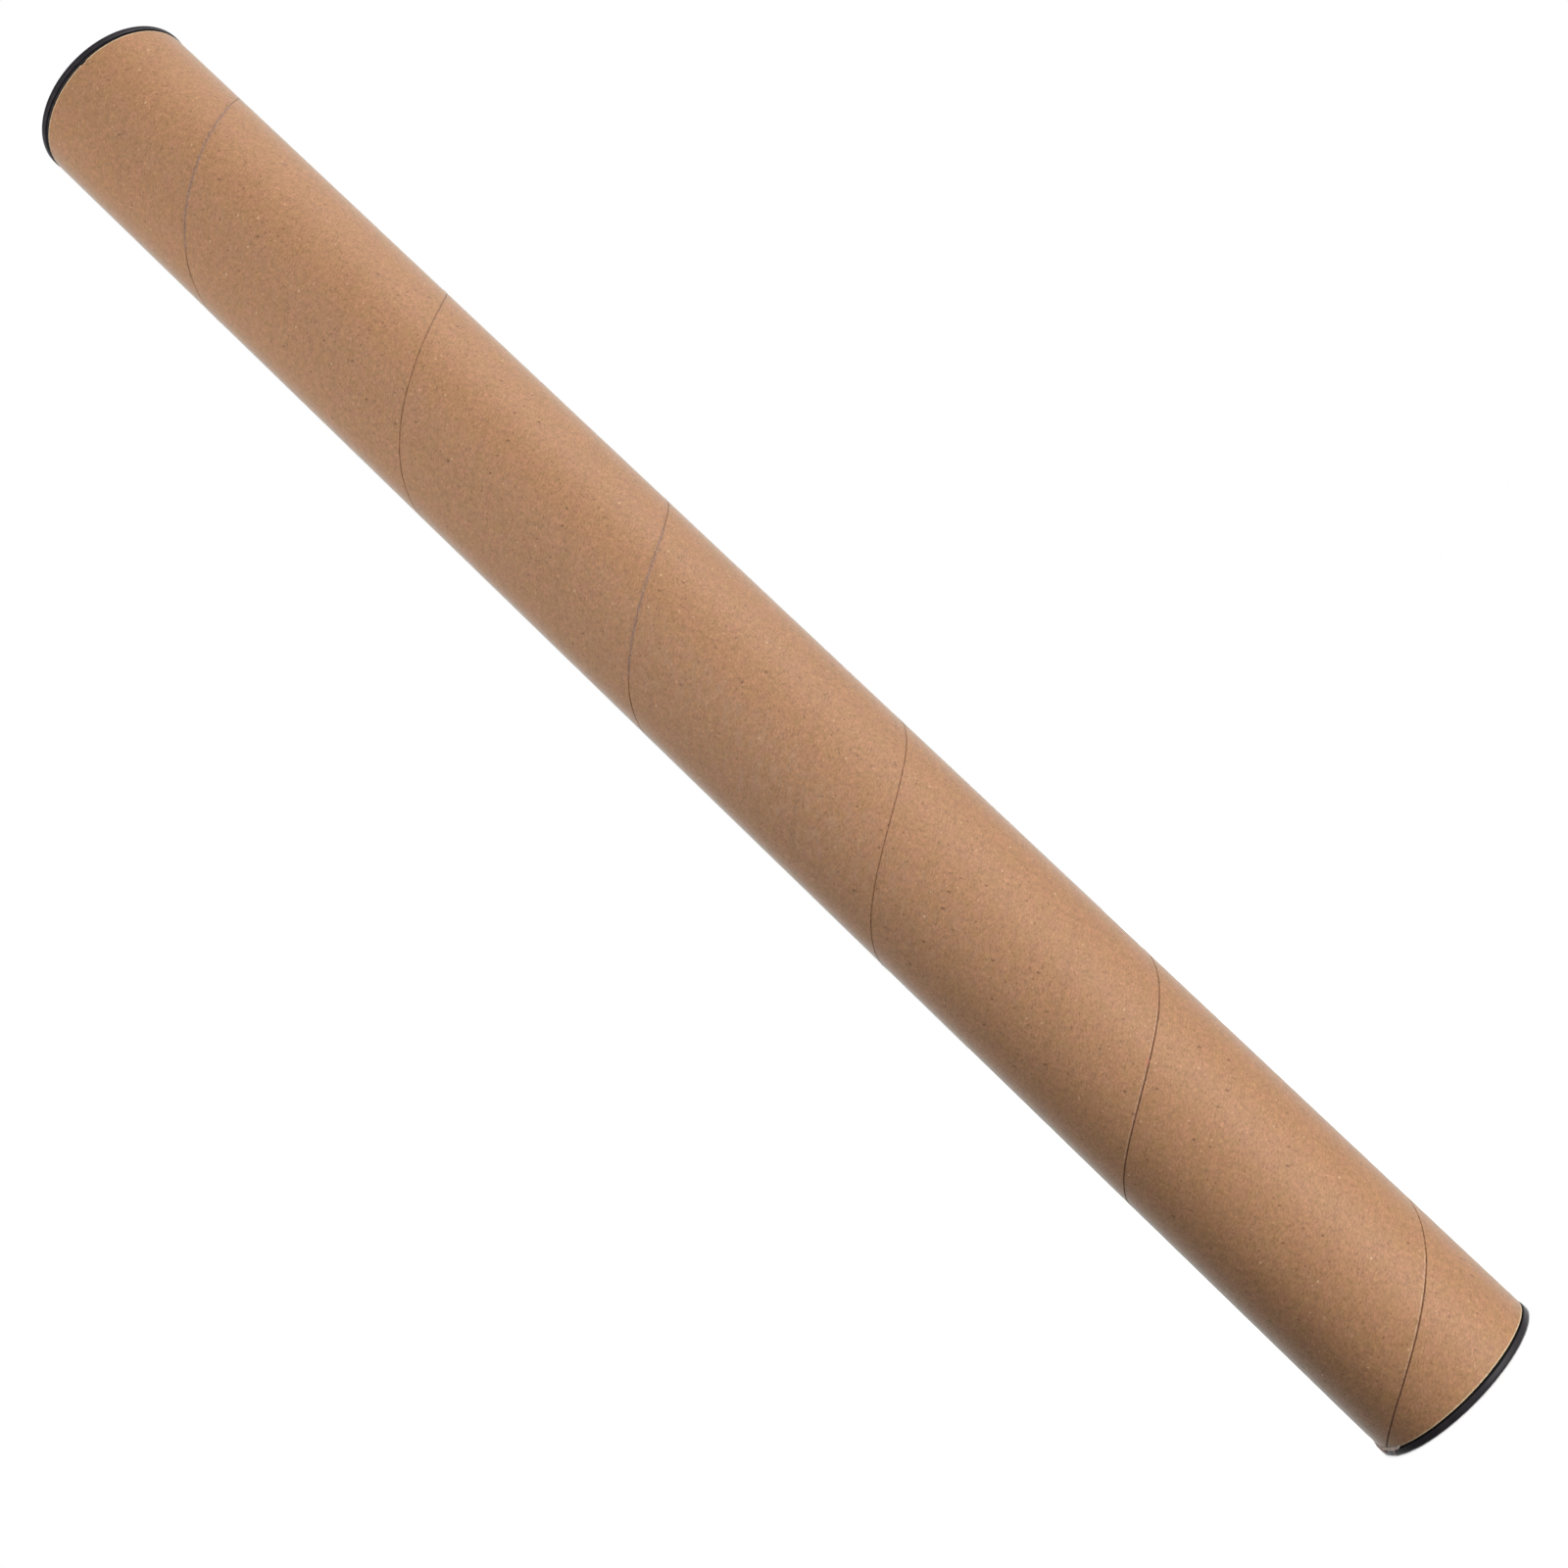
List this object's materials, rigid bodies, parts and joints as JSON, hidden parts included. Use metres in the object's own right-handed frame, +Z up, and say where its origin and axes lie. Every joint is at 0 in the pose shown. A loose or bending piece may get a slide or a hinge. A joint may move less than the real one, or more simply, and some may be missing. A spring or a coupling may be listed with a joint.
{
  "type": "mailing tube",
  "caption": "Spiral-wound brown paper mailing tube with a visible helical butt seam and a black flanged plug cap pushed into each end.",
  "frame": {"origin": "centre of the lower cap's outer face, on which the tube stands", "axes": "+Z up the tube's axis towards the upper cap; -Y towards the side that the picture shows"},
  "size_m": [0.0502, 0.0502, 0.5044],
  "materials": {
    "brown_paperboard": "matte",
    "black_plastic": "satin"
  },
  "bodies": {
    "tube": {"tube": "brown_paperboard"},
    "bottom_cap": {"bottom_cap": "black_plastic"},
    "top_cap": {"top_cap": "black_plastic"}
  },
  "joints": [
    {"name": "top_cap_pull", "type": "slide", "parent": "tube", "child": "top_cap", "axis": [0, 0, 1], "range_m": [0, 0.06]},
    {"name": "bottom_cap_pull", "type": "slide", "parent": "tube", "child": "bottom_cap", "axis": [0, 0, -1], "range_m": [0, 0.06]}
  ]
}
